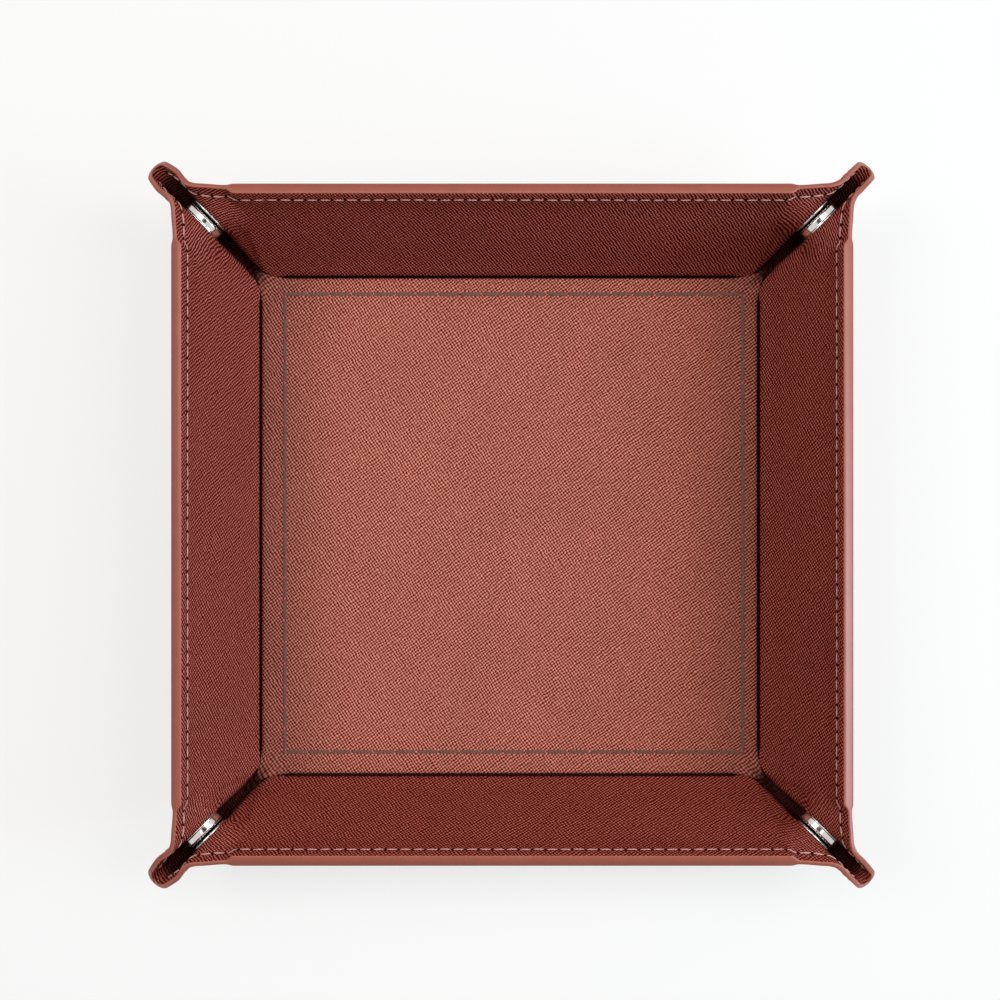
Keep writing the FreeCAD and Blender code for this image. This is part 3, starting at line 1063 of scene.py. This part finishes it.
def ear_stitching(side, turns, hand):
    """The row round the soft end, cut where the crest begins: the crest part is tied to its ear, the rest
    only baked in place.
    """
    corner = CORNERS[side, hand]

    def fold_row(spot):
        return fold_stitch_ear(spot, TIP_OPENING[corner])

    turn_start = math.acos(CREST_DEPTH / ARC_RADIUS) - math.pi / 4
    straight = ARC_MIDDLE + FOLD - (STRAIGHT_HALF + 1) * STITCH_PITCH
    flat_count = 1 + int((straight + ARC_RADIUS * turn_start - STITCH_LENGTH / 2) / STITCH_PITCH)
    for label, face in (("stitches", 1), ("outer_stitches", -1)):
        name = "ear_%s_%s_%s" % (corner, side, label)
        row = stitch_row(name, flat_count, ear_route, face)
        finish_row(row, fold_row, turns, hand)
        blend_ear(row)

    def crest_route(along, aside):
        return ear_route(along + flat_count * STITCH_PITCH, aside)

    for label, face in (("crest_stitches", 1), ("crest_outer_stitches", -1)):
        row = stitch_row("ear_%s_%s_%s" % (corner, side, label), 1, crest_route, face)
        finish_row(row, fold_row, turns, hand)
        flatten_crest(row, side, hand)


DASH_ROUND = 0.12 * MM
DASH_WIDTH = 1.15 * MM
DASH_LENGTH = 6.4 * MM
DASH_DEPTH = 0.3 * MM
DASH_COUNT = 21


def sewn_block(name, length):
    clear_selection()
    bpy.ops.mesh.primitive_cube_add(size=1)
    piece = named(name)
    move_points(piece, lambda spot: Vector((spot.x * length, spot.y * DASH_WIDTH, spot.z * DASH_DEPTH)))
    bevel_edges(piece, lambda first, second: first.z > 0 and second.z > 0, DASH_ROUND, 2)
    return piece


def sewn_frame():
    """The square frame of flat dashes sewn on the base lining, with a small block at each corner."""
    low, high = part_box("base_sewn_frame")
    middle = (low + high) / 2
    reach = (high.x - low.x) / 2 - DASH_WIDTH / 2
    pitch = (2 * reach - DASH_WIDTH) / DASH_COUNT
    level = low.z + 0.05 * MM
    rows = []
    for turns in range(4):
        dash = sewn_block("sewn_dash", DASH_LENGTH)
        repeat(dash, DASH_COUNT, pitch)
        first = -pitch * (DASH_COUNT - 1) / 2
        move_points(dash, lambda spot: spot + Vector((first, 0, 0)))
        corner = sewn_block("sewn_corner", DASH_WIDTH)
        move_points(corner, lambda spot: spot + Vector((reach, 0, 0)))
        row = join([dash, corner])
        move_points(row, lambda spot: quarter_turn(spot + Vector((0, reach, 0)), turns))
        rows.append(row)
    piece = join(rows)
    piece.name = "base_dashes"
    piece.data.name = "base_dashes"
    move_points(piece, lambda spot: spot + Vector((middle.x, middle.y, level)))
    give_materials(piece, FRAME_THREAD)
    keep_sheet_place(piece)
    smooth(piece)
    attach(piece, "base")
    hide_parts("base_sewn_frame")


# Snaps
def turned(name, profile, steps=56):
    """A piece of revolution about Z, spun from a closed profile of radius and height."""
    mesh = bpy.data.meshes.new(name)
    points = [(radius, 0, height) for radius, height in profile]
    edges = [(index, (index + 1) % len(points)) for index in range(len(points))]
    mesh.from_pydata(points, edges, [])
    piece = bpy.data.objects.new(name, mesh)
    bpy.context.scene.collection.objects.link(piece)
    select_only(piece)
    bpy.ops.object.mode_set(mode="EDIT")
    bpy.ops.mesh.select_all(action="SELECT")
    bpy.ops.mesh.spin(steps=steps, angle=2 * math.pi, center=(0, 0, 0), axis=(0, 0, 1))
    bpy.ops.mesh.select_all(action="SELECT")
    bpy.ops.mesh.remove_doubles(threshold=0.005 * MM)
    bpy.ops.mesh.normals_make_consistent(inside=False)
    bpy.ops.object.mode_set(mode="OBJECT")
    return piece


def round_edges(piece, width, segments=3):
    finish_modifier(
        piece, "BEVEL", width=width, segments=segments, limit_method="ANGLE", angle_limit=math.radians(35)
    )


def millimetres(profile):
    return [(radius * MM, height * MM) for radius, height in profile]


def knurl(spot, chosen, teeth, depth):
    """Wave the chosen points in and out round the axis, as fine teeth."""
    if not chosen:
        return spot
    scale = 1 + depth * math.cos(teeth * math.atan2(spot.y, spot.x))
    return Vector((spot.x * scale, spot.y * scale, spot.z))


RING_TEETH = 36
RING_TOOTH = 0.04
RING_SHOULDER = 2.45 * MM
COLLAR_TEETH = 28
COLLAR_TOOTH = 0.05
COLLAR_IN = 4.3 * MM
COLLAR_OUT = 5.2 * MM
SHADE_RADIUS = 5.1 * MM


def socket_ring(name):
    """A thick ring with a toothed shoulder on a thin flange, open in the middle for the stud."""
    profile = (
        (2.7, 0.0), (7.2, 0.0), (7.2, 0.35), (6.9, 0.55), (7.0, 2.2), (6.4, 2.85),
        (5.4, 2.9), (4.6, 2.3), (2.7, 2.3),
    )
    piece = turned(name, millimetres(profile), 144)
    round_edges(piece, 0.22 * MM)
    move_points(piece, lambda spot: knurl(spot, spot.z > RING_SHOULDER, RING_TEETH, RING_TOOTH))
    return piece


def stud(name):
    """A bright flange with a rolled lip, a fine-toothed collar and the stud that enters the ring."""
    profile = (
        (0.0, 0.0), (6.9, 0.0), (6.95, 0.3), (6.7, 0.62), (5.0, 0.55),
        (4.6, 1.1), (2.2, 1.1), (1.8, 2.2), (2.0, 2.9), (1.5, 3.3), (0.0, 3.3),
    )
    piece = turned(name, millimetres(profile))
    round_edges(piece, 0.12 * MM, 2)

    def on_collar(spot):
        return COLLAR_IN < math.hypot(spot.x, spot.y) < COLLAR_OUT

    move_points(piece, lambda spot: knurl(spot, on_collar(spot), COLLAR_TEETH, COLLAR_TOOTH))
    return piece


def rivet_cap(name):
    """The domed head outside the ear, with a rolled rim and a short shank through the leather."""
    profile = (
        (0.0, 1.9), (1.2, 1.9), (1.2, 0.0), (6.1, 0.05), (6.2, -0.25), (5.6, -0.5),
        (5.2, -0.55), (4.0, -0.78), (2.4, -0.88), (0.0, -0.9),
    )
    piece = turned(name, millimetres(profile))
    round_edges(piece, 0.1 * MM, 2)
    return piece


def place_on_ear(piece, side, turns, hand, level):
    """Stand a turned piece on one face of its ear, pointing at the diagonal."""
    toward = Vector((1, -1, 0)).normalized()
    upward = Vector((0, 0, 1))
    sideways = upward.cross(toward)
    middle = Vector((SNAP_OUT / ROOT_TWO, SNAP_OUT / ROOT_TWO, SNAP_HEIGHT))
    foot = middle - toward * (OUTER_GAP - level)

    def stand(spot):
        return foot + sideways * spot.x + upward * spot.y + toward * spot.z

    move_points(piece, stand)
    to_wall(piece, turns, hand)
    smooth(piece, 35)
    corner = CORNERS[side, hand]
    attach(piece, "ear_%s_%s" % (corner, side))


def shade_collar(piece):
    """The hollow and the toothed collar are drawn in darker metal, as painted shade."""
    give_materials(piece, NICKEL, SHADED_NICKEL)
    for face in piece.data.polygons:
        radius = math.hypot(face.center.x, face.center.y)
        if radius < SHADE_RADIUS and face.center.z > 0:
            face.material_index = 1


def snap_half(side, turns, hand):
    corner = CORNERS[side, hand]
    if side in STUD_WALLS:
        inner_node, cap_node = "snap_%s_stud" % corner, "snap_%s_post" % corner
        inner = stud(inner_node + "_metal")
    else:
        inner_node, cap_node = "snap_%s_socket" % corner, "snap_%s_cap" % corner
        inner = socket_ring(inner_node + "_metal")
    shade_collar(inner)
    place_on_ear(inner, side, turns, hand, SOFT)
    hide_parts(inner_node)
    cap = rivet_cap(cap_node + "_metal")
    give_materials(cap, NICKEL)
    place_on_ear(cap, side, turns, hand, 0.0)
    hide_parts(cap_node)


# Stage: floor, lights and camera
FLOOR_WHITE = 0.95
FLOOR_GLOW = 0.7
WARM_LIGHT = (1.0, 0.985, 0.96)
COOL_LIGHT = (0.64, 0.84, 1.0)
SKY_LIGHT = 0.13
SKY_SEEN = 0.9
LAMPS = (
    ("overhead_softbox", (0.0, 0.30, 1.48), (0.6, 1.0), 5.8, WARM_LIGHT),
    ("east_softbox", (0.868, 0.30, 0.985), (0.7, 0.7), 6.6, WARM_LIGHT),
    ("west_softbox", (-0.868, 0.30, 0.985), (0.7, 0.7), 6.6, WARM_LIGHT),
    ("north_softbox", (0.0, 0.919, 0.919), (0.8, 0.7), 1.0, WARM_LIGHT),
    ("low_window", (1.205, -0.15, 0.487), (0.6, 0.5), 12.4, COOL_LIGHT),
)
CAMERA_PLACE = (-10.5 * MM, -5.0 * MM, 407 * MM)
SENSOR_WIDTH = 36
LENS = 43.8
SHIFT_X = 0.022
SHIFT_Y = 0.041


def seen_rays(tree):
    """1 for what the camera sees straight on, in metal or through glass, 0 for light that bounces."""
    rays = add_node(tree, "ShaderNodeLightPath")
    seen = calculate(tree, "MAXIMUM", rays.outputs["Is Camera Ray"], rays.outputs["Is Glossy Ray"])
    return calculate(tree, "MAXIMUM", seen, rays.outputs["Is Transmission Ray"])


def softbox(name, place, sides, power, colour):
    """A rectangular lamp aimed at the middle of the tray."""
    clear_selection()
    bpy.ops.object.light_add(type="AREA", location=place)
    lamp = bpy.context.object
    lamp.name = name
    lamp.data.shape = "RECTANGLE"
    lamp.data.size, lamp.data.size_y = sides
    lamp.data.energy = power
    lamp.data.color = colour
    lamp.rotation_euler = (-lamp.location).to_track_quat("-Z", "Y").to_euler()


def dark_card():
    """A dark card over the camera that only the polished metal reflects."""
    clear_selection()
    bpy.ops.mesh.primitive_plane_add(size=0.2, location=(0.0, 0.0, 0.45))
    card = named("dark_card")
    card.visible_camera = False
    card.visible_diffuse = False
    card.visible_shadow = False
    material, _, shader = new_material("dark_card")
    shader.inputs["Base Color"].default_value = (0.02, 0.018, 0.016, 1)
    shader.inputs["Roughness"].default_value = 0.9
    give_materials(card, material)


def stage():
    clear_selection()
    bpy.ops.mesh.primitive_plane_add(size=6)
    floor = named("floor")
    material, tree, shader = new_material("pale_floor")
    uneven = cloud(tree, object_place(tree), 3.0)
    tone = blend_colours(tree, uneven, (0.93, 0.925, 0.915), (0.95, 0.945, 0.935))
    tree.links.new(tone, shader.inputs["Base Color"])
    shader.inputs["Roughness"].default_value = 0.9
    shader.inputs["Specular IOR Level"].default_value = 0.1
    glow = add_node(tree, "ShaderNodeEmission", {"Color": (1.0, 0.995, 0.985, 1), "Strength": FLOOR_WHITE})
    share = calculate(tree, "MULTIPLY", seen_rays(tree), FLOOR_GLOW)
    blend = add_node(tree, "ShaderNodeMixShader", {0: share, 1: shader.outputs[0], 2: glow.outputs[0]})
    tree.links.new(blend.outputs[0], tree.nodes["Material Output"].inputs["Surface"])
    give_materials(floor, material)

    world = bpy.data.worlds.new("studio")
    bpy.context.scene.world = world
    world.use_nodes = True
    sky = world.node_tree
    background = sky.nodes["Background"]
    inputs = {"Value": seen_rays(sky), "To Min": SKY_LIGHT, "To Max": SKY_SEEN}
    strength = add_node(sky, "ShaderNodeMapRange", inputs)
    sky.links.new(strength.outputs["Result"], background.inputs["Strength"])
    background.inputs["Color"].default_value = (1, 1, 1, 1)

    for lamp in LAMPS:
        softbox(*lamp)
    dark_card()

    clear_selection()
    bpy.ops.object.camera_add(location=CAMERA_PLACE, rotation=(0, 0, 0))
    camera = bpy.context.object
    camera.name = "camera"
    camera.data.sensor_width = SENSOR_WIDTH
    camera.data.lens = LENS
    camera.data.shift_x = SHIFT_X
    camera.data.shift_y = SHIFT_Y
    camera.data.clip_start = 0.01
    bpy.context.scene.camera = camera
    bpy.context.scene.view_settings.view_transform = "Standard"


base_leather()
sewn_frame()
for side_name, quarter in WALLS:
    crease_leather(side_name, quarter)
    wall_leather(side_name, quarter)
    wall_board(side_name, quarter)
    wall_stitching(side_name, quarter)
    for end in (1, -1):
        ear_leather(side_name, quarter, end)
        crest_leather(side_name, quarter, end)
        ear_stitching(side_name, quarter, end)
        snap_half(side_name, quarter, end)
give_materials(frame["nodes"]["base_board"], GREYBOARD)
stage()

bpy.context.view_layer.update()
